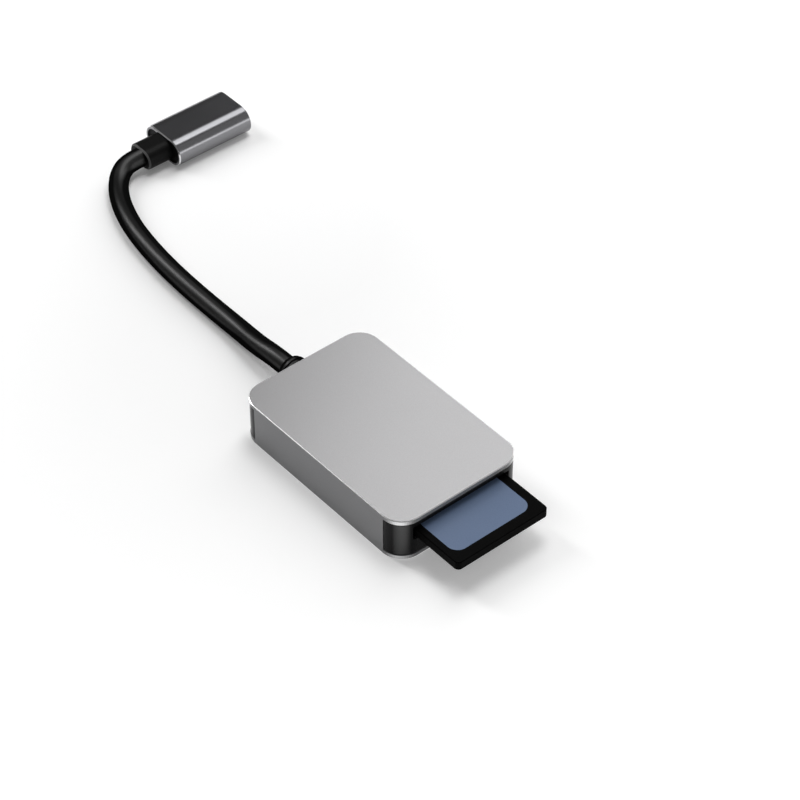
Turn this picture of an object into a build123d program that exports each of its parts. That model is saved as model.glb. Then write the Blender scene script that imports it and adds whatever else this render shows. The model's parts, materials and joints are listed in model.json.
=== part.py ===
from build123d import *
import os
from math import pi, radians, tan

# USB memory card reader, in millimetres.
# The origin is the centre of the body's underside, with +Z up.
# The card slot faces -Y, the cable leaves at +Y, and X runs across the width.

os.makedirs("parts", exist_ok=True)

# Body: an aluminium sleeve closed by two black plastic ends
body_width = 33.0
body_length = 51.0
body_height = 10.6
corner_radius = 4.9
plate_thickness = 1.0
side_wall = 1.2
edge_chamfer = 0.15
rail_depth = 0.6
rail_thickness = 0.7
end_inset = 0.1
end_gap = 0.1
end_wall = 1.4
end_skin = 0.8
end_edge = 0.2
end_tongue = 3.0
sliding_gap = 0.05

# Memory card, standard size, with its label, contact pads and slider
card_width = 24.0
card_length = 32.0
card_thickness = 2.1
card_cut = 4.0
card_corner = 1.1
card_edge = 0.15
card_out = 12.5
card_roof = 1.95
label_margin = 1.9
label_shift = -0.3
label_setback = 2.4
label_length = 24.0
label_corner = 2.5
label_thickness = 0.12
pad_recess = 0.7
pad_thickness = 0.1
pad_rib_gap = 0.1
data_pad_width = 1.6
data_pad_length = 4.0
data_pad_pitch = 2.5
data_pad_count = 8
data_pad_setback = 0.8
data_pad_shift = -0.75
corner_pad_setback = 3.2
fast_pad_width = 1.1
fast_pad_length = 2.6
fast_pad_pitch = 2.2
fast_pad_count = 8
fast_pad_setback = 8.4
slider_depth = 0.8
slider_travel = 6.4
slider_setback = 7.0
slider_length = 2.8
slider_height = 1.3

# Card slot and card socket
slot_side_gap = 0.35
slot_roof_gap = 0.3
slot_lead_in = 0.4
lead_in_angle = 45.0
tunnel_wall = 0.8
tunnel_length = 0.9
socket_mouth_gap = 0.2
socket_base = 1.15
socket_rail = 0.5
socket_back_wall = 1.2
socket_side_gap = 0.2
socket_headroom = 0.15
cover_sheet = 0.25
cover_window_width = 4.0
cover_window_length = 7.0
cover_window_spacing = 12.0
cover_tab_gap = 0.7
contact_thickness = 0.15
contact_side_gap = 0.2
contact_tail = 1.1
contact_tip = 0.8
contact_touch_gap = 0.02
data_contact_width = 0.9
fast_contact_width = 0.6
fast_tail_setback = 2.6
leaf_height = 1.2
leaf_thickness = 0.15
leaf_gap = 0.2
leaf_arm = 1.0
leaf_hook = 0.5

# Circuit board and what is soldered to it
board_thickness = 1.0
board_neck_margin = 0.1
board_wall_gap = 0.3
board_rear_gap = 3.6
tooling_hole_radius = 0.6
tooling_hole_inset = 1.3
zone_margin = 0.6
part_gap = 1.0
controller_size = 7.0
controller_height = 0.85
chip_edge = 0.08
pin_mark_radius = 0.4
pin_mark_depth = 0.1
pin_mark_inset = 1.0
regulator_length = 3.0
regulator_width = 2.6
regulator_height = 0.9
inductor_size = 3.0
inductor_height = 1.4
inductor_corner = 0.6
crystal_length = 3.2
crystal_width = 2.5
crystal_height = 0.8
crystal_corner = 0.4
capacitor_length = 1.6
capacitor_width = 0.8
capacitor_height = 0.8
capacitor_pitch = 2.0
capacitor_count = 5
resistor_length = 1.0
resistor_width = 0.5
resistor_height = 0.35
resistor_pitch = 1.6
resistor_count = 8

# Cable with its collar and its wires
cable_diameter = 4.7
exit_drop = 0.1
collar_length = 4.65
collar_margin = 0.7
collar_groove = 0.5
collar_groove_depth = 0.35
collar_ring = 0.5
collar_taper = 0.8
collar_taper_depth = 0.3
collar_nose = 0.5
collar_nose_depth = 0.6
collar_neck_wall = 0.25
collar_lip = 1.2
wire_diameter = 0.75
wire_spread = 1.1
wire_layer_gap = 1.3
wire_columns = 3
wire_pitch = 1.4
wire_stub = 0.7
wire_solder_length = 3.0
wire_solder_gap = 0.05
wire_sides = 8

# Connector at the cable's far end, lying flat, with its axis along +X
connector_width = 13.3
connector_height = 6.8
connector_length = 21.0
connector_wall = 0.7
connector_chamfer = 0.25
relief_width = 7.8
relief_margin = 0.05
relief_length = 6.6
relief_edge = 0.4
relief_set_in = 0.35
relief_root = 4.5
face_set_in = 0.3
face_thickness = 2.2
receptacle_width = 8.34
receptacle_height = 2.56
receptacle_sheet = 0.3
receptacle_depth = 7.2
receptacle_floor = 1.4
tongue_width = 6.69
tongue_thickness = 0.7
tongue_set_in = 0.7
tongue_root_thickness = 1.3
tongue_root_length = 1.1
blade_count = 12
blade_pitch = 0.5
blade_width = 0.26
blade_length = 3.0
blade_thickness = 0.05
small_board_width = 9.0
small_board_thickness = 0.8
small_board_gap = 0.8
small_wire_count = 4
small_wire_length = 2.5

# Places in the body, worked out from the sizes above
half_length = body_length / 2
wall_end = half_length - corner_radius
inner_width = body_width - 2 * side_wall
inner_height = body_height - 2 * plate_thickness
ceiling = body_height - plate_thickness
end_face = half_length - end_inset
end_floor = plate_thickness + end_gap
end_height = inner_height - 2 * end_gap
end_room = end_height - 2 * end_skin
end_inner_face = end_face - end_wall

# Places of the card, its pads and its socket
card_top = ceiling - card_roof
card_bottom = card_top - card_thickness
card_back = -half_length - card_out
card_lead = card_back + card_length
pad_ceiling = card_bottom + pad_recess
socket_floor = card_bottom - socket_base
socket_roof = card_top + socket_headroom
socket_height = socket_roof - socket_floor
socket_front = -end_inner_face + tunnel_length + socket_mouth_gap
socket_rear = card_lead + socket_back_wall
socket_length = socket_rear - socket_front
pocket_width = card_width + 2 * socket_side_gap
socket_width = pocket_width + 2 * socket_rail
cover_width = socket_width + 2 * cover_sheet

# Places of the cable's exit and of the board
cable_radius = cable_diameter / 2
wire_radius = wire_diameter / 2
exit_height = body_height / 2 - exit_drop
collar_end = end_face + collar_length
collar_radius = inner_height / 2 - exit_drop - collar_margin
collar_taper_end = collar_end - collar_nose
collar_ring_end = collar_taper_end - collar_taper
collar_ring_start = collar_ring_end - collar_ring
collar_groove_start = collar_ring_start - collar_groove
collar_groove_radius = collar_radius - collar_groove_depth
collar_taper_radius = collar_radius - collar_taper_depth
collar_neck_radius = cable_radius + collar_neck_wall
collar_lip_radius = end_room / 2 - exit_drop - sliding_gap
collar_inner_end = end_inner_face - collar_lip
board_top = socket_floor
board_bottom = board_top - board_thickness
board_width = inner_width - 2 * sliding_gap
board_neck_width = cover_width + 2 * board_neck_margin
board_side_end = wall_end - board_wall_gap
board_rear = min(collar_inner_end - board_rear_gap, board_side_end)
zone_front = socket_rear + contact_tail + zone_margin
zone_rear = board_rear - wire_solder_length - zone_margin
zone_middle = (zone_front + zone_rear) / 2

# The cable's route: sideways from the exit, back from the exit, height above the floor
connector_axis = connector_height / 2
cable_route = [
    (0.0, 0.0, exit_height),
    (0.0, 4.4, exit_height),
    (0.15, 10.8, 4.1),
    (1.0, 18.3, 2.9),
    (1.3, 27.1, cable_radius),
    (1.4, 36.75, cable_radius),
    (1.9, 46.15, cable_radius),
    (2.9, 54.55, cable_radius),
    (4.3, 61.95, cable_radius),
    (6.3, 68.25, cable_radius),
    (8.6, 73.25, cable_radius),
    (11.1, 76.95, 2.5),
    (13.8, 79.45, 3.0),
    (16.9, 80.5, connector_axis),
    (19.9, 80.5, connector_axis),
]
route_points = [Vector(side, collar_end + back, height) for side, back, height in cable_route]
arc_share = 0.45

# Places along the connector, whose strain relief starts where the route ends
connector_y = route_points[-1].Y
relief_start = route_points[-1].X
connector_start = relief_start + relief_length
connector_end = connector_start + connector_length
connector_inner_width = connector_width - 2 * connector_wall
connector_inner_height = connector_height - 2 * connector_wall
insert_width = connector_inner_width - 2 * sliding_gap
insert_height = connector_inner_height - 2 * sliding_gap
relief_height = insert_height - 2 * relief_margin
relief_root_start = connector_start + relief_set_in
relief_root_end = relief_root_start + relief_root
face_front = connector_end - face_set_in
receptacle_rear = face_front - receptacle_depth
receptacle_outer_width = receptacle_width + 2 * receptacle_sheet
receptacle_outer_height = receptacle_height + 2 * receptacle_sheet
tongue_start = receptacle_rear + receptacle_floor
tongue_end = face_front - tongue_set_in
small_board_top = connector_axis + small_board_thickness / 2


def row(count, pitch, shift=0.0):
    """Places of an even row, centred on the shift."""
    return [shift + (index - (count - 1) / 2) * pitch for index in range(count)]


def across_connector(x):
    """Plane square to the connector's axis at x, with its origin on the axis."""
    return Plane(origin=(x, connector_y, connector_axis), x_dir=(0, 1, 0), z_dir=(1, 0, 0))


def end_outline(inset, side):
    """Outline of one end, inside the plates' outline; side is -1 at the slot and 1 at the cable."""
    RectangleRounded(body_width - 2 * inset, body_length - 2 * inset, corner_radius - inset)
    with Locations((0, side * (wall_end - body_length))):
        Rectangle(body_width, 2 * body_length, mode=Mode.SUBTRACT)


def end_block(side):
    """Hollow black end between the plates, with a tongue along each plate."""
    with BuildSketch(Plane.XY.offset(end_floor)) as outline:
        end_outline(end_inset, side)
    block = extrude(outline.sketch, amount=end_height)
    rims = block.faces().filter_by(Axis.Z).edges()
    chamfer([rim for rim in rims if abs(rim.center().Y) > wall_end + end_edge], end_edge)
    with BuildSketch(Plane.XY.offset(end_floor + end_skin)) as hollow:
        end_outline(end_inset + end_wall, side)
    extrude(hollow.sketch, amount=end_room, mode=Mode.SUBTRACT)
    for height in (end_floor, end_floor + end_height - end_skin):
        with BuildSketch(Plane.XY.offset(height)) as tongue:
            with Locations((0, side * (wall_end - end_tongue / 2))):
                Rectangle(inner_width - 2 * sliding_gap, end_tongue)
        extrude(tongue.sketch, amount=end_skin)


def contact(x, width, side_profile):
    """One sprung strip of sheet, drawn from the side as places along Y and Z."""
    with BuildSketch(Plane.YZ.offset(x - width / 2)) as strip:
        with BuildLine():
            Polyline(*side_profile)
        trace(line_width=contact_thickness)
    extrude(strip.sketch, amount=width)


def label_outline():
    """Outline of the card's label, set back from the card's outer end and a little to one side."""
    with Locations((label_shift, card_back + label_setback + label_length / 2)):
        RectangleRounded(card_width - 2 * label_margin, label_length, label_corner)


# Aluminium sleeve: plates with rounded corners, side walls that stop at the corners, board rails
with BuildPart() as body_shell:
    with BuildSketch():
        RectangleRounded(body_width, body_length, corner_radius)
    extrude(amount=body_height)
    chamfer(body_shell.faces().filter_by(Axis.Z).edges(), edge_chamfer)
    with BuildSketch(Plane.XZ):
        with Locations((0, body_height / 2)):
            Rectangle(inner_width, inner_height)
    extrude(amount=half_length, both=True, mode=Mode.SUBTRACT)
    with BuildSketch(Plane.XY.offset(plate_thickness)):
        with GridLocations(0, body_length - corner_radius, 1, 2):
            Rectangle(body_width, corner_radius)
    extrude(amount=inner_height, mode=Mode.SUBTRACT)
    rail_x = (inner_width - rail_depth) / 2
    lower_rail = board_bottom - rail_thickness / 2
    upper_rail = board_top + sliding_gap + rail_thickness / 2
    with BuildSketch(Plane.XZ):
        with Locations([(side * rail_x, z) for side in (-1, 1) for z in (lower_rail, upper_rail)]):
            Rectangle(rail_depth, rail_thickness)
    extrude(amount=wall_end, both=True)
body_shell.part.label = "body_shell"
export_step(body_shell.part, "parts/body_shell.step")

# Black end with the card slot, and a short tunnel that leads into the card socket
with BuildPart() as front_bezel:
    end_block(-1)
    slot_width = card_width + 2 * slot_side_gap
    slot_height = card_thickness + 2 * slot_roof_gap
    slot_middle = (card_bottom + card_top) / 2
    with BuildSketch(Plane.XZ.offset(end_inner_face)):
        with Locations((0, slot_middle)):
            Rectangle(slot_width + 2 * tunnel_wall, slot_height + 2 * tunnel_wall)
    extrude(amount=-tunnel_length)
    with BuildSketch(Plane.XZ.offset(end_face)):
        with Locations((0, slot_middle)):
            Rectangle(slot_width, slot_height)
    extrude(amount=-end_wall - tunnel_length, mode=Mode.SUBTRACT)
    with BuildSketch(Plane.XZ.offset(end_face)):
        with Locations((0, slot_middle)):
            Rectangle(slot_width + 2 * slot_lead_in, slot_height + 2 * slot_lead_in)
    extrude(amount=-slot_lead_in, taper=lead_in_angle, mode=Mode.SUBTRACT)
front_bezel.part.label = "front_bezel"
export_step(front_bezel.part, "parts/front_bezel.step")

# Black end with the cable hole
with BuildPart() as rear_cap:
    end_block(1)
    with BuildSketch(Plane.XZ.offset(-end_inner_face)):
        with Locations((0, exit_height)):
            Circle(collar_neck_radius + sliding_gap)
    extrude(amount=-end_wall, mode=Mode.SUBTRACT)
rear_cap.part.label = "rear_cap"
export_step(rear_cap.part, "parts/rear_cap.step")

# Circuit board, full width between the side walls and narrower inside the front end
with BuildPart() as circuit_board:
    hole_x = board_neck_width / 2 - tooling_hole_inset
    with BuildSketch(Plane.XY.offset(board_bottom)):
        with Locations((0, board_rear)):
            Rectangle(board_width, board_rear + board_side_end, align=(Align.CENTER, Align.MAX))
        with Locations((0, socket_front)):
            Rectangle(board_neck_width, board_rear - socket_front, align=(Align.CENTER, Align.MIN))
        with Locations((-hole_x, zone_rear), (hole_x, zone_rear)):
            Circle(tooling_hole_radius, mode=Mode.SUBTRACT)
    extrude(amount=board_thickness)
circuit_board.part.label = "circuit_board"
export_step(circuit_board.part, "parts/circuit_board.step")

# Contact places, shared by the card's pads and the socket's sprung contacts
data_x = row(data_pad_count, data_pad_pitch, data_pad_shift)
fast_x = row(fast_pad_count, fast_pad_pitch)
data_pad_y = card_lead - data_pad_setback - data_pad_length / 2
corner_pad_y = card_lead - corner_pad_setback - data_pad_length / 2
fast_pad_y = card_lead - fast_pad_setback - fast_pad_length / 2
data_places = [(x, data_pad_y) for x in data_x]
data_places.append((data_x[-1] + data_pad_pitch, corner_pad_y))
fast_places = [(x, fast_pad_y) for x in fast_x]
fast_contact_reach = fast_pad_y - socket_front - fast_tail_setback
contact_tail_z = board_top + contact_thickness / 2
contact_tip_z = pad_ceiling - pad_thickness - contact_touch_gap - contact_thickness / 2

# Moulded base of the card socket: floor, side rails, back wall and a slot for each contact
with BuildPart() as card_socket_base:
    with BuildSketch(Plane.XY.offset(socket_floor)):
        with Locations((0, socket_rear)):
            Rectangle(socket_width, socket_length, align=(Align.CENTER, Align.MAX))
    extrude(amount=socket_height)
    with BuildSketch(Plane.XY.offset(card_bottom)):
        with Locations((0, card_lead)):
            Rectangle(pocket_width, socket_length, align=(Align.CENTER, Align.MAX))
    extrude(amount=socket_roof - card_bottom, mode=Mode.SUBTRACT)
    with BuildSketch(Plane.XY.offset(socket_floor)):
        data_slot_width = data_contact_width + 2 * contact_side_gap
        for x, y in data_places:
            with Locations((x, socket_rear)):
                slot_reach = socket_rear - y + contact_tip + contact_side_gap
                Rectangle(data_slot_width, slot_reach, align=(Align.CENTER, Align.MAX))
        fast_slot_width = fast_contact_width + 2 * contact_side_gap
        fast_slot = fast_contact_reach + contact_tip + 2 * contact_side_gap
        with Locations([(x, y + contact_tip + contact_side_gap) for x, y in fast_places]):
            Rectangle(fast_slot_width, fast_slot, align=(Align.CENTER, Align.MAX))
    extrude(amount=socket_base, mode=Mode.SUBTRACT)
card_socket_base.part.label = "card_socket_base"
export_step(card_socket_base.part, "parts/card_socket_base.step")

# Steel cover folded over the socket, with two windows that each leave a spring tab
with BuildPart() as card_socket_cover:
    with BuildSketch(Plane.XZ.offset(-socket_rear)):
        with Locations((0, socket_floor)):
            Rectangle(cover_width, socket_height + cover_sheet, align=(Align.CENTER, Align.MIN))
            Rectangle(socket_width, socket_height, align=(Align.CENTER, Align.MIN), mode=Mode.SUBTRACT)
    extrude(amount=socket_length)
    with BuildSketch(Plane.XY.offset(socket_roof)):
        with Locations((0, socket_rear - socket_length / 2)):
            with GridLocations(cover_window_spacing, 0, 2, 1):
                Rectangle(cover_window_width, cover_window_length)
                with Locations((0, cover_tab_gap / 2)):
                    tab_width = cover_window_width - 2 * cover_tab_gap
                    Rectangle(tab_width, cover_window_length - cover_tab_gap, mode=Mode.SUBTRACT)
    extrude(amount=cover_sheet, mode=Mode.SUBTRACT)
card_socket_cover.part.label = "card_socket_cover"
export_step(card_socket_cover.part, "parts/card_socket_cover.step")

# First row of contacts, soldered behind the socket
with BuildPart() as card_contacts_data_row:
    for x, y in data_places:
        contact(x, data_contact_width, [
            (socket_rear + contact_tail, contact_tail_z),
            (card_lead, contact_tail_z),
            (y, contact_tip_z),
            (y - contact_tip, contact_tip_z - contact_tip / 2),
        ])
card_contacts_data_row.part.label = "card_contacts_data_row"
export_step(card_contacts_data_row.part, "parts/card_contacts_data_row.step")

# Second row of contacts, which point the other way and are soldered under the card
with BuildPart() as card_contacts_fast_row:
    for x, y in fast_places:
        contact(x, fast_contact_width, [
            (y - fast_contact_reach, contact_tail_z),
            (y - fast_contact_reach / 2, contact_tail_z),
            (y, contact_tip_z),
            (y + contact_tip, contact_tip_z - contact_tip / 2),
        ])
card_contacts_fast_row.part.label = "card_contacts_fast_row"
export_step(card_contacts_fast_row.part, "parts/card_contacts_fast_row.step")

# Leaf of the card switch, in the space that the card's cut corner leaves free
with BuildPart() as card_detect_leaf:
    cut_middle_x = (card_width - card_cut) / 2 + leaf_gap
    cut_middle_y = card_lead - card_cut / 2 + leaf_gap
    with BuildSketch(Plane.XY.offset(card_bottom)):
        with BuildLine():
            Polyline(
                (cut_middle_x + leaf_arm, card_lead),
                (cut_middle_x, cut_middle_y),
                (cut_middle_x + leaf_arm, cut_middle_y - leaf_hook),
            )
        trace(line_width=leaf_thickness)
        with Locations((0, card_lead)):
            Rectangle(socket_width, socket_back_wall, align=(Align.CENTER, Align.MIN), mode=Mode.SUBTRACT)
    extrude(amount=leaf_height)
card_detect_leaf.part.label = "card_detect_leaf"
export_step(card_detect_leaf.part, "parts/card_detect_leaf.step")

# Controller, with the dimple that marks its first pin
with BuildPart() as controller_chip:
    with BuildSketch(Plane.XY.offset(board_top)):
        with Locations((0, zone_middle)):
            Rectangle(controller_size, controller_size)
    extrude(amount=controller_height)
    chip_top = controller_chip.faces().sort_by(Axis.Z)[-1]
    chamfer(chip_top.edges(), chip_edge)
    mark_reach = controller_size / 2 - pin_mark_inset
    with BuildSketch(Plane.XY.offset(board_top + controller_height)):
        with Locations((-mark_reach, zone_middle + mark_reach)):
            Circle(pin_mark_radius)
    extrude(amount=-pin_mark_depth, mode=Mode.SUBTRACT)
controller_chip.part.label = "controller_chip"
export_step(controller_chip.part, "parts/controller_chip.step")

# Power parts beside the controller
left_x = -(controller_size + inductor_size) / 2 - part_gap
right_x = (controller_size + crystal_width) / 2 + part_gap
with BuildPart() as inductor:
    with BuildSketch(Plane.XY.offset(board_top)):
        with Locations((left_x, zone_middle + (inductor_size + part_gap) / 2)):
            RectangleRounded(inductor_size, inductor_size, inductor_corner)
    extrude(amount=inductor_height)
    chamfer(inductor.faces().sort_by(Axis.Z)[-1].edges(), chip_edge)
inductor.part.label = "inductor"
export_step(inductor.part, "parts/inductor.step")

with BuildPart() as regulator_chip:
    with BuildSketch(Plane.XY.offset(board_top)):
        with Locations((left_x, zone_middle - (regulator_length + part_gap) / 2)):
            Rectangle(regulator_width, regulator_length)
    extrude(amount=regulator_height)
    chamfer(regulator_chip.faces().sort_by(Axis.Z)[-1].edges(), chip_edge)
regulator_chip.part.label = "regulator_chip"
export_step(regulator_chip.part, "parts/regulator_chip.step")

with BuildPart() as crystal:
    with BuildSketch(Plane.XY.offset(board_top)):
        with Locations((right_x, zone_middle)):
            RectangleRounded(crystal_width, crystal_length, crystal_corner)
    extrude(amount=crystal_height)
    chamfer(crystal.faces().sort_by(Axis.Z)[-1].edges(), chip_edge)
crystal.part.label = "crystal"
export_step(crystal.part, "parts/crystal.step")

# A column of capacitors on each side of those, and a row of resistors behind the socket
with BuildPart() as capacitors:
    left_column = left_x - (inductor_size + capacitor_length) / 2 - part_gap
    right_column = right_x + (crystal_width + capacitor_length) / 2 + part_gap
    with BuildSketch(Plane.XY.offset(board_top)):
        for y in row(capacitor_count, capacitor_pitch, zone_middle):
            with Locations((left_column, y), (right_column, y)):
                Rectangle(capacitor_length, capacitor_width)
    extrude(amount=capacitor_height)
capacitors.part.label = "capacitors"
export_step(capacitors.part, "parts/capacitors.step")

with BuildPart() as resistors:
    with BuildSketch(Plane.XY.offset(board_top)):
        with Locations([(x, zone_front) for x in row(resistor_count, resistor_pitch)]):
            Rectangle(resistor_width, resistor_length, align=(Align.CENTER, Align.MIN))
    extrude(amount=resistor_height)
resistors.part.label = "resistors"
export_step(resistors.part, "parts/resistors.step")

# The cable's wires: two layers at the collar, spread into one row of solder joints on the board
with BuildPart() as lead_wires:
    solder_x = row(2 * wire_columns, wire_pitch)
    solder_z = board_top + wire_radius + wire_solder_gap
    for index, x in enumerate(row(wire_columns, wire_spread)):
        for layer, lift in enumerate((-wire_layer_gap / 2, wire_layer_gap / 2)):
            joint_x = solder_x[2 * index + layer]
            start = Vector(x, collar_inner_end, exit_height + lift)
            with BuildLine() as wire_path:
                Polyline(
                    start,
                    start - Vector(0, wire_stub, 0),
                    (joint_x, board_rear + wire_diameter, solder_z),
                    (joint_x, board_rear - wire_solder_length, solder_z),
                )
            with BuildSketch(Plane(origin=start, z_dir=(0, -1, 0))):
                RegularPolygon(wire_radius, wire_sides)
            sweep(path=wire_path.line, transition=Transition.RIGHT)
lead_wires.part.label = "lead_wires"
export_step(lead_wires.part, "parts/lead_wires.step")

# Grommet round the cable: a lip inside the rear cap, a neck through it and a grooved sleeve outside
with BuildPart() as cable_collar:
    with BuildSketch(Plane(origin=(0, 0, exit_height), x_dir=(0, 1, 0), z_dir=(1, 0, 0))):
        with BuildLine():
            Polyline(
                (collar_inner_end, 0),
                (collar_inner_end, collar_lip_radius),
                (end_inner_face, collar_lip_radius),
                (end_inner_face, collar_neck_radius),
                (end_face, collar_neck_radius),
                (end_face, collar_radius),
                (collar_groove_start, collar_radius),
                (collar_groove_start, collar_groove_radius),
                (collar_ring_start, collar_groove_radius),
                (collar_ring_start, collar_radius),
                (collar_ring_end, collar_radius),
                (collar_taper_end, collar_taper_radius),
                (collar_end, collar_taper_radius - collar_nose_depth),
                (collar_end, 0),
                close=True,
            )
        make_face()
    revolve(axis=Axis((0, 0, exit_height), (0, 1, 0)))
cable_collar.part.label = "cable_collar"
export_step(cable_collar.part, "parts/cable_collar.step")

# Cable: straight runs joined by arcs as large as the runs allow
bend_radii = []
for before, corner, after in zip(route_points, route_points[1:], route_points[2:]):
    run_in = corner - before
    run_out = after - corner
    half_turn = radians(run_in.get_angle(run_out)) / 2
    bend_radii.append(arc_share * min(run_in.length, run_out.length) / tan(half_turn))
with BuildPart() as cable:
    with BuildLine() as cable_path:
        FilletPolyline(*route_points, radius=bend_radii)
    with BuildSketch(Plane(origin=route_points[0], z_dir=route_points[1] - route_points[0])):
        Circle(cable_radius)
    sweep(path=cable_path.line)
cable.part.label = "cable"
export_step(cable.part, "parts/cable.step")
print("cable bend radii", [round(radius, 1) for radius in bend_radii])
cable_length = sum(edge.length for edge in cable_path.edges())
section_area = pi * cable_radius**2
print("cable length", round(cable_length, 2))
print("cable volume over section times length", round(cable.part.volume / (section_area * cable_length), 4))

# Strain relief and the root that fills the connector's cable end, one moulding
with BuildPart() as strain_relief:
    with BuildSketch(across_connector(relief_start)):
        SlotOverall(relief_width, relief_height)
    extrude(amount=relief_root_start - relief_start)
    chamfer(strain_relief.faces().sort_by(Axis.X)[0].edges(), relief_edge)
    with BuildSketch(across_connector(relief_root_start)):
        SlotOverall(insert_width, insert_height)
    extrude(amount=relief_root)
strain_relief.part.label = "strain_relief"
export_step(strain_relief.part, "parts/strain_relief.step")

# Aluminium connector shell with a chamfered rim at each end
with BuildPart() as connector_shell:
    with BuildSketch(across_connector(connector_start)):
        SlotOverall(connector_width, connector_height)
        SlotOverall(connector_inner_width, connector_inner_height, mode=Mode.SUBTRACT)
    extrude(amount=connector_length)
    shell_ends = connector_shell.faces().filter_by(Axis.X).sort_by(Axis.X)
    chamfer(shell_ends[0].outer_wire().edges() + shell_ends[-1].outer_wire().edges(), connector_chamfer)
connector_shell.part.label = "connector_shell"
export_step(connector_shell.part, "parts/connector_shell.step")

# Black face in the connector's open end
with BuildPart() as connector_face:
    with BuildSketch(across_connector(face_front - face_thickness)):
        SlotOverall(insert_width, insert_height)
        SlotOverall(
            receptacle_outer_width + 2 * sliding_gap,
            receptacle_outer_height + 2 * sliding_gap,
            mode=Mode.SUBTRACT,
        )
    extrude(amount=face_thickness)
connector_face.part.label = "connector_face"
export_step(connector_face.part, "parts/connector_face.step")

# Steel receptacle shell
with BuildPart() as receptacle_shell:
    with BuildSketch(across_connector(receptacle_rear)):
        SlotOverall(receptacle_outer_width, receptacle_outer_height)
        SlotOverall(receptacle_width, receptacle_height, mode=Mode.SUBTRACT)
    extrude(amount=receptacle_depth)
receptacle_shell.part.label = "receptacle_shell"
export_step(receptacle_shell.part, "parts/receptacle_shell.step")

# Moulded floor of the receptacle with its tongue
with BuildPart() as receptacle_tongue:
    with BuildSketch(across_connector(receptacle_rear)):
        SlotOverall(receptacle_width - 2 * sliding_gap, receptacle_height - 2 * sliding_gap)
    extrude(amount=receptacle_floor)
    with BuildSketch(across_connector(tongue_start)):
        Rectangle(tongue_width, tongue_root_thickness)
    extrude(amount=tongue_root_length)
    with BuildSketch(across_connector(tongue_start)):
        Rectangle(tongue_width, tongue_thickness)
    extrude(amount=tongue_end - tongue_start)
receptacle_tongue.part.label = "receptacle_tongue"
export_step(receptacle_tongue.part, "parts/receptacle_tongue.step")

# Contact blades on both faces of the tongue
with BuildPart() as receptacle_contacts:
    blade_x = (tongue_start + tongue_root_length + tongue_end) / 2
    for side in (-1, 1):
        with BuildSketch(Plane.XY.offset(connector_axis + side * tongue_thickness / 2)):
            with Locations([(blade_x, y) for y in row(blade_count, blade_pitch, connector_y)]):
                Rectangle(blade_length, blade_width)
        extrude(amount=side * blade_thickness)
receptacle_contacts.part.label = "receptacle_contacts"
export_step(receptacle_contacts.part, "parts/receptacle_contacts.step")

# Small board behind the receptacle, and the wires that reach it from the strain relief
with BuildPart() as connector_board:
    small_board_start = relief_root_end + small_board_gap
    with BuildSketch(Plane.XY.offset(connector_axis - small_board_thickness / 2)):
        with Locations((small_board_start, connector_y)):
            board_reach = receptacle_rear - small_board_start
            Rectangle(board_reach, small_board_width, align=(Align.MIN, Align.CENTER))
    extrude(amount=small_board_thickness)
connector_board.part.label = "connector_board"
export_step(connector_board.part, "parts/connector_board.step")

with BuildPart() as connector_leads:
    lead_height = small_board_top + wire_radius + wire_solder_gap - connector_axis
    with BuildSketch(across_connector(relief_root_end)):
        with Locations([(y, lead_height) for y in row(small_wire_count, wire_pitch)]):
            RegularPolygon(wire_radius, wire_sides)
    extrude(amount=small_wire_length)
connector_leads.part.label = "connector_leads"
export_step(connector_leads.part, "parts/connector_leads.step")

# Memory card: cut corner, label recess, a window over each pad and the slider's notch
slider_front = card_lead - slider_setback
with BuildPart() as memory_card:
    with BuildSketch(Plane.XY.offset(card_bottom)) as card_outline:
        with Locations((0, card_back)):
            Rectangle(card_width, card_length, align=(Align.CENTER, Align.MIN))
        lead_corners = card_outline.vertices().group_by(Axis.Y)[-1].sort_by(Axis.X)
        fillet(card_outline.vertices().group_by(Axis.Y)[0] + [lead_corners[0]], card_corner)
        cut_corner = card_outline.vertices().group_by(Axis.Y)[-1].sort_by(Axis.X)[-1]
        chamfer(cut_corner, card_cut)
    extrude(amount=card_thickness)
    chamfer(memory_card.faces().filter_by(Axis.Z).edges(), card_edge)
    with BuildSketch(Plane.XY.offset(card_top)):
        label_outline()
    extrude(amount=-label_thickness, mode=Mode.SUBTRACT)
    with BuildSketch(Plane.XY.offset(card_bottom)):
        for x, y in data_places:
            with Locations((x, y - data_pad_length / 2 - pad_rib_gap)):
                window_reach = card_lead - y + data_pad_length / 2 + pad_rib_gap
                Rectangle(data_pad_width + 2 * pad_rib_gap, window_reach, align=(Align.CENTER, Align.MIN))
        with Locations(fast_places):
            Rectangle(fast_pad_width + 2 * pad_rib_gap, fast_pad_length + 2 * pad_rib_gap)
    extrude(amount=pad_recess, mode=Mode.SUBTRACT)
    with BuildSketch(Plane.XY.offset(card_bottom)):
        with Locations((-card_width / 2, slider_front)):
            Rectangle(2 * slider_depth, slider_travel, align=(Align.CENTER, Align.MAX))
    extrude(amount=card_thickness, mode=Mode.SUBTRACT)
memory_card.part.label = "memory_card"
export_step(memory_card.part, "parts/memory_card.step")

with BuildPart() as card_label:
    with BuildSketch(Plane.XY.offset(card_top - label_thickness)):
        label_outline()
    extrude(amount=label_thickness)
card_label.part.label = "card_label"
export_step(card_label.part, "parts/card_label.step")

with BuildPart() as card_pads:
    with BuildSketch(Plane.XY.offset(pad_ceiling)):
        with Locations(data_places):
            Rectangle(data_pad_width, data_pad_length)
        with Locations(fast_places):
            Rectangle(fast_pad_width, fast_pad_length)
    extrude(amount=-pad_thickness)
card_pads.part.label = "card_pads"
export_step(card_pads.part, "parts/card_pads.step")

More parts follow.
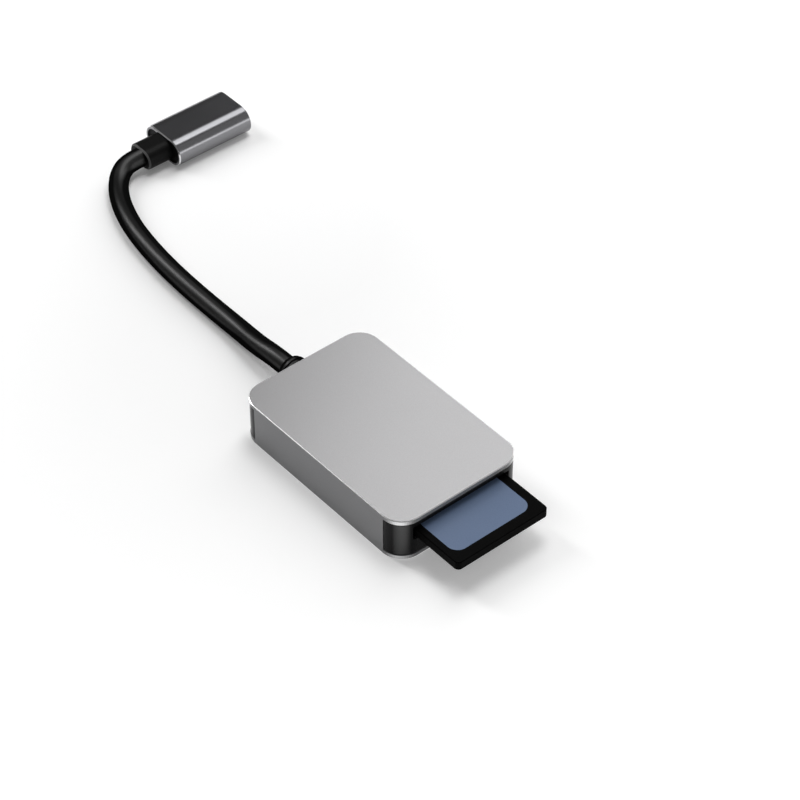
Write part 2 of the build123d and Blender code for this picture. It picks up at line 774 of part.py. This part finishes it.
# Slider of the write lock, at the end of its notch that leaves the card open for writing
with BuildPart() as write_protect_tab:
    with BuildSketch(Plane.XY.offset((card_bottom + card_top - slider_height) / 2)):
        with Locations((-card_width / 2, slider_front)):
            Rectangle(slider_depth, slider_length, align=(Align.MIN, Align.MAX))
    extrude(amount=slider_height)
write_protect_tab.part.label = "write_protect_tab"
export_step(write_protect_tab.part, "parts/write_protect_tab.step")
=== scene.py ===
"""Looks of the memory card reader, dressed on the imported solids.

All lengths are in metres, in the frame of the solids: the origin is the centre of the body's underside,
the card slot faces -Y and the cable leaves at +Y.
"""

import json
import math

import bpy
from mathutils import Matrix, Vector


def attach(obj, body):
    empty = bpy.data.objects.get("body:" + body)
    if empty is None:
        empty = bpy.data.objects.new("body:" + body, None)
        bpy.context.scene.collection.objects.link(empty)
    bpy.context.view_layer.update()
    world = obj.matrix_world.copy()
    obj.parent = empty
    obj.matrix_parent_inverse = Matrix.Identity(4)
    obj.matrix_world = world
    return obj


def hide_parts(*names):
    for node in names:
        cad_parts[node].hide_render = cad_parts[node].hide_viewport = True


MM = 0.001

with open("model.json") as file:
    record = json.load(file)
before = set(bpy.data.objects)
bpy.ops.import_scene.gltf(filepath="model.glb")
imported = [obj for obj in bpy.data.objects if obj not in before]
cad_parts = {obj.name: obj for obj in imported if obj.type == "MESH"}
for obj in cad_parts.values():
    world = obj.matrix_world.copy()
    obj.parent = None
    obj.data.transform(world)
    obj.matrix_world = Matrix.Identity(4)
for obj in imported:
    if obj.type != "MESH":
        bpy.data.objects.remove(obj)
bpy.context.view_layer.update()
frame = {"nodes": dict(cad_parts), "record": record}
nodes = frame["nodes"]


# Camera

CAMERA_TARGET = Vector((15.008, 11.452, 0.0)) * MM
CAMERA_AZIMUTH = math.radians(-40.165)
CAMERA_ELEVATION = math.radians(42.882)
CAMERA_DISTANCE = 574.58 * MM
CAMERA_LENS = 122.49
CAMERA_SENSOR = 36.0
CAMERA_CLIP = (0.01, 10.0)


def direction(azimuth, elevation):
    """Unit vector towards a viewer at that azimuth and elevation, in radians."""
    level = math.cos(elevation)
    return Vector((math.sin(azimuth) * level, -math.cos(azimuth) * level, math.sin(elevation)))


def add_camera():
    """Camera at the photograph's angle."""
    data = bpy.data.cameras.new("camera")
    data.lens = CAMERA_LENS
    data.sensor_width = CAMERA_SENSOR
    data.clip_start, data.clip_end = CAMERA_CLIP
    camera = bpy.data.objects.new("camera", data)
    back = direction(CAMERA_AZIMUTH, CAMERA_ELEVATION)
    camera.location = CAMERA_TARGET + back * CAMERA_DISTANCE
    camera.rotation_mode = "QUATERNION"
    camera.rotation_quaternion = (-back).to_track_quat("-Z", "Y")
    bpy.context.collection.objects.link(camera)
    bpy.context.scene.camera = camera


add_camera()


# Cable

CABLE_DIAMETER = 4.7 * MM
CABLE_ROUTE_MM = [
    (0.0, 30.05, 5.2),
    (0.0, 34.45, 5.2),
    (0.15, 40.85, 4.1),
    (1.0, 48.35, 2.9),
    (1.3, 57.15, 2.35),
    (1.4, 66.8, 2.35),
    (1.9, 76.2, 2.35),
    (2.9, 84.6, 2.35),
    (4.3, 92.0, 2.35),
    (6.3, 98.3, 2.35),
    (8.6, 103.3, 2.35),
    (11.1, 107.0, 2.5),
    (13.8, 109.5, 3.0),
    (16.9, 110.55, 3.4),
    (19.9, 110.55, 3.4),
]


def lay_cable():
    """Cable jacket along the route, one smooth curve from the collar to the strain relief."""
    curve = bpy.data.curves.new("cable_jacket", "CURVE")
    curve.dimensions = "3D"
    spline = curve.splines.new("NURBS")
    spline.points.add(len(CABLE_ROUTE_MM) - 1)
    for point, place in zip(spline.points, CABLE_ROUTE_MM):
        point.co = (*(Vector(place) * MM), 1.0)
        point.radius = CABLE_DIAMETER / 2
    spline.order_u = 3
    spline.use_endpoint_u = True
    spline.use_smooth = True
    curve.resolution_u = 16
    curve.bevel_depth = 1.0
    curve.bevel_resolution = 10
    curve.use_fill_caps = True
    cable = bpy.data.objects.new("cable_jacket", curve)
    bpy.context.collection.objects.link(cable)
    return cable


cable = lay_cable()
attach(cable, "root")
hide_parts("cable")


# Shared surface effects

GRAIN_NOISE_SPAN = (0.25, 0.75)
PATCH_NOISE_SPAN = (0.3, 0.7)
BEVEL_TILT = 0.3
FACE_TILT = 0.95
# Gain of the painted highlight on the rims round the corners.
CORNER_HIGHLIGHT_GAIN = 4.0


def new_group(name, inputs, outputs):
    """Shader node group with named sockets, and its input and output nodes."""
    group = bpy.data.node_groups.new(name, "ShaderNodeTree")
    for label, kind, value in inputs:
        socket = group.interface.new_socket(label, in_out="INPUT", socket_type=kind)
        socket.default_value = value
    for label, kind in outputs:
        group.interface.new_socket(label, in_out="OUTPUT", socket_type=kind)
    return group, group.nodes.new("NodeGroupInput"), group.nodes.new("NodeGroupOutput")


def math_node(tree, operation, *values):
    """Math node whose inputs are numbers or linked sockets."""
    node = tree.nodes.new("ShaderNodeMath")
    node.operation = operation
    for socket, value in zip(node.inputs, values):
        if isinstance(value, bpy.types.NodeSocket):
            tree.links.new(value, socket)
        else:
            socket.default_value = value
    return node.outputs[0]


def map_range(tree, value, from_low, from_high, to_low, to_high, smooth=False):
    """Value carried from one range to another, clamped to the new one."""
    node = tree.nodes.new("ShaderNodeMapRange")
    node.interpolation_type = "SMOOTHSTEP" if smooth else "LINEAR"
    for label, item in (
        ("Value", value),
        ("From Min", from_low),
        ("From Max", from_high),
        ("To Min", to_low),
        ("To Max", to_high),
    ):
        if isinstance(item, bpy.types.NodeSocket):
            tree.links.new(item, node.inputs[label])
        else:
            node.inputs[label].default_value = item
    return node.outputs["Result"]


def make_grain_group():
    """Fine grain all over a surface: a shade near 1 and a height for bump."""
    group, given, out = new_group(
        "surface_grain",
        [("Grain per metre", "NodeSocketFloat", 4000.0), ("Contrast", "NodeSocketFloat", 0.05)],
        [("Shade", "NodeSocketFloat"), ("Height", "NodeSocketFloat")],
    )
    place = group.nodes.new("ShaderNodeTexCoord")
    noise = group.nodes.new("ShaderNodeTexNoise")
    noise.inputs["Detail"].default_value = 2.0
    group.links.new(place.outputs["Object"], noise.inputs["Vector"])
    group.links.new(given.outputs["Grain per metre"], noise.inputs["Scale"])
    darkest = math_node(group, "SUBTRACT", 1.0, given.outputs["Contrast"])
    lightest = math_node(group, "ADD", 1.0, given.outputs["Contrast"])
    shade = map_range(group, noise.outputs[0], *GRAIN_NOISE_SPAN, darkest, lightest)
    group.links.new(shade, out.inputs["Shade"])
    group.links.new(noise.outputs[0], out.inputs["Height"])
    return group


def make_handling_group():
    """Broad soft patches between two values, as handling leaves on a finish."""
    group, given, out = new_group(
        "handling_patches",
        [
            ("Patches per metre", "NodeSocketFloat", 60.0),
            ("Lowest", "NodeSocketFloat", 0.3),
            ("Highest", "NodeSocketFloat", 0.4),
        ],
        [("Value", "NodeSocketFloat")],
    )
    place = group.nodes.new("ShaderNodeTexCoord")
    noise = group.nodes.new("ShaderNodeTexNoise")
    noise.inputs["Detail"].default_value = 3.0
    noise.inputs["Roughness"].default_value = 0.6
    group.links.new(place.outputs["Object"], noise.inputs["Vector"])
    group.links.new(given.outputs["Patches per metre"], noise.inputs["Scale"])
    lowest = given.outputs["Lowest"]
    highest = given.outputs["Highest"]
    value = map_range(group, noise.outputs[0], *PATCH_NOISE_SPAN, lowest, highest)
    group.links.new(value, out.inputs["Value"])
    return group


def vector_math(tree, operation, *values):
    """Vector math node whose inputs are vectors, numbers or linked sockets."""
    node = tree.nodes.new("ShaderNodeVectorMath")
    node.operation = operation
    sockets = [socket for socket in node.inputs if socket.enabled]
    for socket, value in zip(sockets, values):
        if isinstance(value, bpy.types.NodeSocket):
            tree.links.new(value, socket)
        else:
            socket.default_value = value
    return next(socket for socket in node.outputs if socket.enabled)


def make_cut_edge_group():
    """Masks of the bevels, of the faces across the axis and of the rims round the corners.

    The rim mask is a painted highlight, brightest where its face turns half way from the rim axis. The
    normal is the surface's own, and on a bevel it rolls over towards the axis.
    """
    group, given, out = new_group(
        "cut_edges",
        [
            ("Axis", "NodeSocketVector", (0.0, 0.0, 1.0)),
            ("Roll", "NodeSocketFloat", 0.0),
            ("Rim axis", "NodeSocketVector", (0.0, 0.0, 0.0)),
        ],
        [
            ("Bevel", "NodeSocketFloat"),
            ("Across", "NodeSocketFloat"),
            ("Rim", "NodeSocketFloat"),
            ("Normal", "NodeSocketVector"),
        ],
    )
    surface = group.nodes.new("ShaderNodeNewGeometry")
    face = surface.outputs["True Normal"]
    lean = vector_math(group, "DOT_PRODUCT", face, given.outputs["Axis"])
    tilt = math_node(group, "ABSOLUTE", lean)
    over = math_node(group, "GREATER_THAN", tilt, BEVEL_TILT)
    under = math_node(group, "LESS_THAN", tilt, FACE_TILT)
    bevel = math_node(group, "MULTIPLY", over, under)
    group.links.new(bevel, out.inputs["Bevel"])
    across = math_node(group, "GREATER_THAN", tilt, FACE_TILT)
    group.links.new(across, out.inputs["Across"])
    # Painted highlight on the rims, brightest half way round each corner.
    turn = vector_math(group, "DOT_PRODUCT", face, given.outputs["Rim axis"])
    along = math_node(group, "MULTIPLY", turn, turn)
    aside = math_node(group, "SUBTRACT", 1.0, along)
    halfway = math_node(group, "MULTIPLY", along, aside)
    corner_highlight = math_node(group, "MULTIPLY", halfway, CORNER_HIGHLIGHT_GAIN)
    upright = math_node(group, "LESS_THAN", tilt, BEVEL_TILT)
    rim_highlight = math_node(group, "MULTIPLY", upright, corner_highlight)
    group.links.new(rim_highlight, out.inputs["Rim"])
    roll = math_node(group, "MULTIPLY", bevel, given.outputs["Roll"])
    rolled = math_node(group, "MULTIPLY", roll, lean)
    leaning = vector_math(group, "SCALE", given.outputs["Axis"], rolled)
    normal = vector_math(group, "ADD", surface.outputs["Normal"], leaning)
    group.links.new(vector_math(group, "NORMALIZE", normal), out.inputs["Normal"])
    return group


GRAIN = make_grain_group()
HANDLING = make_handling_group()
CUT_EDGES = make_cut_edge_group()


# Finishes

def new_finish(name):
    """Empty material with its shader."""
    material = bpy.data.materials.new(name)
    material.use_nodes = True
    tree = material.node_tree
    tree.nodes.clear()
    shader = tree.nodes.new("ShaderNodeBsdfPrincipled")
    out = tree.nodes.new("ShaderNodeOutputMaterial")
    tree.links.new(shader.outputs["BSDF"], out.inputs["Surface"])
    return material, tree, shader


def place_group(tree, group, **values):
    """Group node with its own values, given by socket name with underscores for spaces."""
    node = tree.nodes.new("ShaderNodeGroup")
    node.node_tree = group
    for label, value in values.items():
        node.inputs[label.replace("_", " ")].default_value = value
    return node


def tinted(tree, colour, shade):
    """Colour multiplied by a shade that changes over the surface."""
    return vector_math(tree, "SCALE", colour, shade)


def blended(tree, mask, first, second):
    """First colour where the mask is 0, second where it is 1."""
    mix = tree.nodes.new("ShaderNodeMix")
    mix.data_type = "RGBA"
    tree.links.new(mask, mix.inputs["Factor"])
    for socket, colour in ((mix.inputs[6], first), (mix.inputs[7], second)):
        if isinstance(colour, bpy.types.NodeSocket):
            tree.links.new(colour, socket)
        else:
            socket.default_value = (*colour, 1.0)
    return mix.outputs[2]


def bump(tree, shader, height, depth):
    """Bump of that depth in metres on the shader's normal."""
    node = tree.nodes.new("ShaderNodeBump")
    node.inputs["Distance"].default_value = depth
    tree.links.new(height, node.inputs["Height"])
    tree.links.new(node.outputs["Normal"], shader.inputs["Normal"])
    return node


def fading(tree, shader, gloss, turned_gloss, near, far):
    """Gloss that fades on faces turned from the eye, where a fine moulded texture hides its own shine."""
    weight = tree.nodes.new("ShaderNodeLayerWeight")
    level = map_range(tree, weight.outputs["Facing"], near, far, gloss, turned_gloss, smooth=True)
    tree.links.new(level, shader.inputs["Specular IOR Level"])


def moulded(name, colour, roughness, gloss, grain_mm, contrast, depth_mm, fade=None, edge=None):
    """Moulded plastic or rubber with grain and handling patches, and a painted highlight on the bevel if
    one is given.
    """
    material, tree, shader = new_finish(name)
    grain = place_group(tree, GRAIN, Grain_per_metre=1 / (grain_mm * MM), Contrast=contrast)
    patches = place_group(tree, HANDLING, Lowest=roughness[0], Highest=roughness[1])
    shader.inputs["Specular IOR Level"].default_value = gloss
    if edge:
        # The bevel colour is a painted highlight line on the edge.
        edge_highlight_colour, axis = edge
        masks = place_group(tree, CUT_EDGES, Axis=axis)
        colour = blended(tree, masks.outputs["Bevel"], colour, edge_highlight_colour)
    tree.links.new(tinted(tree, colour, grain.outputs["Shade"]), shader.inputs["Base Color"])
    tree.links.new(patches.outputs["Value"], shader.inputs["Roughness"])
    bump(tree, shader, grain.outputs["Height"], depth_mm * MM)
    if fade:
        fading(tree, shader, gloss, *fade)
    return material


def bare_metal(name, colour, roughness, grain_mm, contrast, depth_mm):
    """Bright metal with grain and handling patches."""
    material, tree, shader = new_finish(name)
    grain = place_group(tree, GRAIN, Grain_per_metre=1 / (grain_mm * MM), Contrast=contrast)
    patches = place_group(tree, HANDLING, Lowest=roughness[0], Highest=roughness[1])
    shader.inputs["Metallic"].default_value = 1.0
    tree.links.new(tinted(tree, colour, grain.outputs["Shade"]), shader.inputs["Base Color"])
    tree.links.new(patches.outputs["Value"], shader.inputs["Roughness"])
    bump(tree, shader, grain.outputs["Height"], depth_mm * MM)
    return material


def anodised(
    name,
    flank,
    plate,
    edge,
    axis,
    roll,
    rim_highlight,
    rim_axis,
    mirror,
    roughness,
    flank_coarser,
    edge_roughness,
    grain_mm,
    contrast,
    depth_mm,
):
    """Anodised aluminium: blasted faces that scatter part of the light, with bright bevels; a flank
    colour darker than the plate is painted shade on the sides, and the rim colour is a painted highlight
    round the corners.
    """
    material, tree, shader = new_finish(name)
    grain = place_group(tree, GRAIN, Grain_per_metre=1 / (grain_mm * MM), Contrast=contrast)
    patches = place_group(tree, HANDLING, Lowest=roughness[0], Highest=roughness[1])
    masks = place_group(tree, CUT_EDGES, Axis=axis, Roll=roll, Rim_axis=rim_axis)
    # A flank colour darker than the plate is painted shade on the sides.
    faces = blended(tree, masks.outputs["Across"], flank, plate)
    blasted = tinted(tree, faces, grain.outputs["Shade"])
    # The rim colour on the corner mask is a painted highlight.
    rim_highlighted = blended(tree, masks.outputs["Rim"], blasted, rim_highlight)
    colour = blended(tree, masks.outputs["Bevel"], rim_highlighted, edge)
    cut = math_node(tree, "MAXIMUM", masks.outputs["Bevel"], masks.outputs["Rim"])
    uncut = math_node(tree, "SUBTRACT", 1.0, cut)
    coarser = map_range(tree, masks.outputs["Across"], 0.0, 1.0, flank_coarser, 0.0)
    coarse = math_node(tree, "ADD", patches.outputs["Value"], coarser)
    rough = math_node(tree, "MULTIPLY", coarse, uncut)
    polished = math_node(tree, "MULTIPLY", cut, edge_roughness)
    height = math_node(tree, "MULTIPLY", grain.outputs["Height"], uncut)
    tree.links.new(map_range(tree, cut, 0.0, 1.0, mirror, 1.0), shader.inputs["Metallic"])
    tree.links.new(colour, shader.inputs["Base Color"])
    tree.links.new(math_node(tree, "ADD", rough, polished), shader.inputs["Roughness"])
    bumps = bump(tree, shader, height, depth_mm * MM)
    tree.links.new(masks.outputs["Normal"], bumps.inputs["Normal"])
    return material


FINISHES = {
    "silver_aluminium": anodised(
        "blasted_silver_aluminium",
        # The flank is set darker than the plate: painted shade on the sides.
        flank=(0.265, 0.265, 0.272),
        plate=(0.315, 0.313, 0.317),
        edge=(0.93, 0.93, 0.93),
        axis=(0.0, 0.0, 1.0),
        roll=0.73,
        # Painted highlight on the rims round the body's corners.
        rim_highlight=(0.85, 0.85, 0.855),
        rim_axis=(0.0, 1.0, 0.0),
        mirror=0.36,
        roughness=(0.25, 0.27),
        flank_coarser=0.3,
        edge_roughness=0.3,
        grain_mm=0.16,
        contrast=0.06,
        depth_mm=0.004,
    ),
    "grey_aluminium": anodised(
        "charcoal_aluminium",
        flank=(0.22, 0.22, 0.23),
        plate=(0.22, 0.22, 0.23),
        edge=(0.8, 0.8, 0.81),
        axis=(1.0, 0.0, 0.0),
        roll=0.0,
        rim_highlight=(0.22, 0.22, 0.23),
        rim_axis=(0.0, 0.0, 0.0),
        mirror=1.0,
        roughness=(0.2, 0.24),
        flank_coarser=0.0,
        edge_roughness=0.2,
        grain_mm=0.12,
        contrast=0.06,
        depth_mm=0.002,
    ),
    "black_plastic": moulded(
        "gloss_black_moulding",
        (0.008, 0.008, 0.0085),
        (0.2, 0.28),
        gloss=1.0,
        grain_mm=0.5,
        contrast=0.1,
        depth_mm=0.001,
        fade=(0.08, 0.265, 0.37),
    ),
    "cable_jacket": moulded(
        "satin_black_jacket",
        (0.004, 0.004, 0.004),
        (0.36, 0.4),
        gloss=0.36,
        grain_mm=0.25,
        contrast=0.12,
        depth_mm=0.004,
        fade=(0.0, 0.26, 0.46),
    ),
    "card_plastic": moulded(
        "matt_black_card",
        (0.0015, 0.0015, 0.0015),
        (0.5, 0.6),
        gloss=0.02,
        grain_mm=0.18,
        contrast=0.15,
        depth_mm=0.006,
    ),
    "label_film": moulded(
        "slate_blue_film",
        (0.117, 0.169, 0.277),
        (0.45, 0.55),
        gloss=0.2,
        grain_mm=0.2,
        contrast=0.05,
        depth_mm=0.002,
    ),
    "slider_plastic": moulded(
        "light_grey_slider",
        (0.55, 0.55, 0.55),
        (0.45, 0.55),
        gloss=0.4,
        grain_mm=0.2,
        contrast=0.04,
        depth_mm=0.004,
    ),
    "gold_contacts": bare_metal(
        "gold_plating",
        (0.83, 0.6, 0.24),
        (0.2, 0.3),
        grain_mm=0.15,
        contrast=0.06,
        depth_mm=0.001,
    ),
    "steel": bare_metal(
        "stamped_steel",
        (0.6, 0.6, 0.6),
        (0.28, 0.38),
        grain_mm=0.12,
        contrast=0.08,
        depth_mm=0.001,
    ),
    "board": moulded(
        "green_solder_mask",
        (0.01, 0.09, 0.04),
        (0.3, 0.4),
        gloss=0.5,
        grain_mm=0.3,
        contrast=0.15,
        depth_mm=0.004,
    ),
    "socket_moulding": moulded(
        "black_socket_moulding",
        (0.02, 0.02, 0.021),
        (0.45, 0.55),
        gloss=0.4,
        grain_mm=0.2,
        contrast=0.1,
        depth_mm=0.004,
    ),
    "chip_moulding": moulded(
        "matt_chip_moulding",
        (0.018, 0.018, 0.019),
        (0.5, 0.6),
        gloss=0.4,
        grain_mm=0.1,
        contrast=0.12,
        depth_mm=0.004,
    ),
    "ferrite": moulded(
        "dark_ferrite",
        (0.06, 0.06, 0.06),
        (0.5, 0.65),
        gloss=0.4,
        grain_mm=0.15,
        contrast=0.2,
        depth_mm=0.006,
    ),
    "ceramic": moulded(
        "tan_ceramic",
        (0.36, 0.24, 0.13),
        (0.4, 0.5),
        gloss=0.4,
        grain_mm=0.12,
        contrast=0.1,
        depth_mm=0.002,
    ),
    "wire_insulation": moulded(
        "red_insulation",
        (0.4, 0.03, 0.025),
        (0.35, 0.45),
        gloss=0.5,
        grain_mm=0.3,
        contrast=0.08,
        depth_mm=0.002,
    ),
}

RELIEF_FINISH = moulded(
    "matt_black_relief",
    (0.004, 0.004, 0.004),
    (0.4, 0.46),
    gloss=0.07,
    grain_mm=0.25,
    contrast=0.12,
    depth_mm=0.004,
    # Grey on the end bevel of the black relief: a painted highlight line.
    edge=((0.1, 0.1, 0.1), (1.0, 0.0, 0.0)),
)
NODE_FINISHES = {"strain_relief": RELIEF_FINISH}

for part in frame["record"]["subparts"]:
    finish = NODE_FINISHES.get(part["node"], FINISHES[part["material_slot"]])
    for slot in nodes[part["node"]].material_slots:
        slot.material = finish
cable.data.materials.append(FINISHES["cable_jacket"])


# Floor, light and colour

FLOOR_SIZE = 3.0
FLOOR_DROP = 0.02 * MM
FLOOR_ALBEDO = 0.85
FLOOR_CENTRE = (25.0 * MM, 75.0 * MM, 0.0)
FLOOR_GLOW_REACH = (0.03, 0.23)
FLOOR_GLOW = (0.09, 0.56)
ROOM_LIGHT = 0.1


def add_floor():
    """White floor that takes the shadows, and shows as white to the eye and in the metal."""
    half = FLOOR_SIZE / 2
    mesh = bpy.data.meshes.new("floor")
    corners = [(-half, -half), (half, -half), (half, half), (-half, half)]
    mesh.from_pydata([(x, y, -FLOOR_DROP) for x, y in corners], [], [(0, 1, 2, 3)])
    floor = bpy.data.objects.new("floor", mesh)
    bpy.context.collection.objects.link(floor)
    material = bpy.data.materials.new("white_floor")
    material.use_nodes = True
    tree = material.node_tree
    tree.nodes.clear()
    seen = tree.nodes.new("ShaderNodeLightPath")
    camera_or_gloss = math_node(
        tree, "MAXIMUM", seen.outputs["Is Camera Ray"], seen.outputs["Is Glossy Ray"]
    )
    shown = math_node(tree, "MAXIMUM", camera_or_gloss, seen.outputs["Is Transmission Ray"])
    diffuse = tree.nodes.new("ShaderNodeBsdfDiffuse")
    diffuse.inputs["Color"].default_value = (FLOOR_ALBEDO, FLOOR_ALBEDO, FLOOR_ALBEDO, 1.0)
    glow = tree.nodes.new("ShaderNodeEmission")
    place = tree.nodes.new("ShaderNodeTexCoord")
    away = vector_math(tree, "DISTANCE", place.outputs["Object"], FLOOR_CENTRE)
    level = map_range(tree, away, *FLOOR_GLOW_REACH, *FLOOR_GLOW)
    tree.links.new(math_node(tree, "MULTIPLY", shown, level), glow.inputs["Strength"])
    both = tree.nodes.new("ShaderNodeAddShader")
    tree.links.new(diffuse.outputs["BSDF"], both.inputs[0])
    tree.links.new(glow.outputs["Emission"], both.inputs[1])
    out = tree.nodes.new("ShaderNodeOutputMaterial")
    tree.links.new(both.outputs["Shader"], out.inputs["Surface"])
    mesh.materials.append(material)


def add_softbox(name, place, target, size, radiance):
    """Rectangular soft light of even brightness, facing its target."""
    width, height = size
    data = bpy.data.lights.new(name, "AREA")
    data.shape = "RECTANGLE"
    data.size = width
    data.size_y = height
    data.energy = radiance * math.pi * width * height
    light = bpy.data.objects.new(name, data)
    light.location = place
    light.rotation_mode = "QUATERNION"
    light.rotation_quaternion = (Vector(target) - Vector(place)).to_track_quat("-Z", "Y")
    bpy.context.collection.objects.link(light)


def add_room_light():
    """Even light from all round."""
    world = bpy.data.worlds.new("room")
    world.use_nodes = True
    background = world.node_tree.nodes["Background"]
    background.inputs["Color"].default_value = (1.0, 1.0, 1.0, 1.0)
    background.inputs["Strength"].default_value = ROOM_LIGHT
    bpy.context.scene.world = world


add_floor()
add_room_light()
add_softbox(
    "plate_softbox",
    place=(0.27, 0.195, 0.34),
    target=(0.0, 0.1, 0.0),
    size=(0.25, 0.3),
    radiance=2.7,
)
add_softbox(
    "high_softbox",
    place=(0.1, 0.08, 0.47),
    target=(0.0, 0.02, 0.0),
    size=(0.2, 0.2),
    radiance=6.2,
)
add_softbox(
    "key_softbox",
    place=(-0.11, 0.43, 0.32),
    target=(0.02, 0.06, 0.0),
    size=(0.09, 0.34),
    radiance=12.0,
)
add_softbox(
    "side_softbox",
    place=(0.45, 0.12, 0.22),
    target=(0.0, 0.06, 0.0),
    size=(0.3, 0.16),
    radiance=2.0,
)
add_softbox(
    "front_softbox",
    place=(-0.3, -0.36, 0.46),
    target=(0.0, 0.0, 0.0),
    size=(0.5, 0.4),
    radiance=0.25,
)
add_softbox(
    "right_softbox",
    place=(0.32, -0.42, 0.08),
    target=(0.0, 0.0, 0.03),
    size=(0.5, 0.13),
    radiance=2.6,
)
add_softbox(
    "fill_softbox",
    place=(0.29, -0.3, 0.34),
    target=(0.0, 0.0, 0.0),
    size=(0.5, 0.4),
    radiance=0.28,
)
bpy.context.scene.view_settings.view_transform = "Standard"
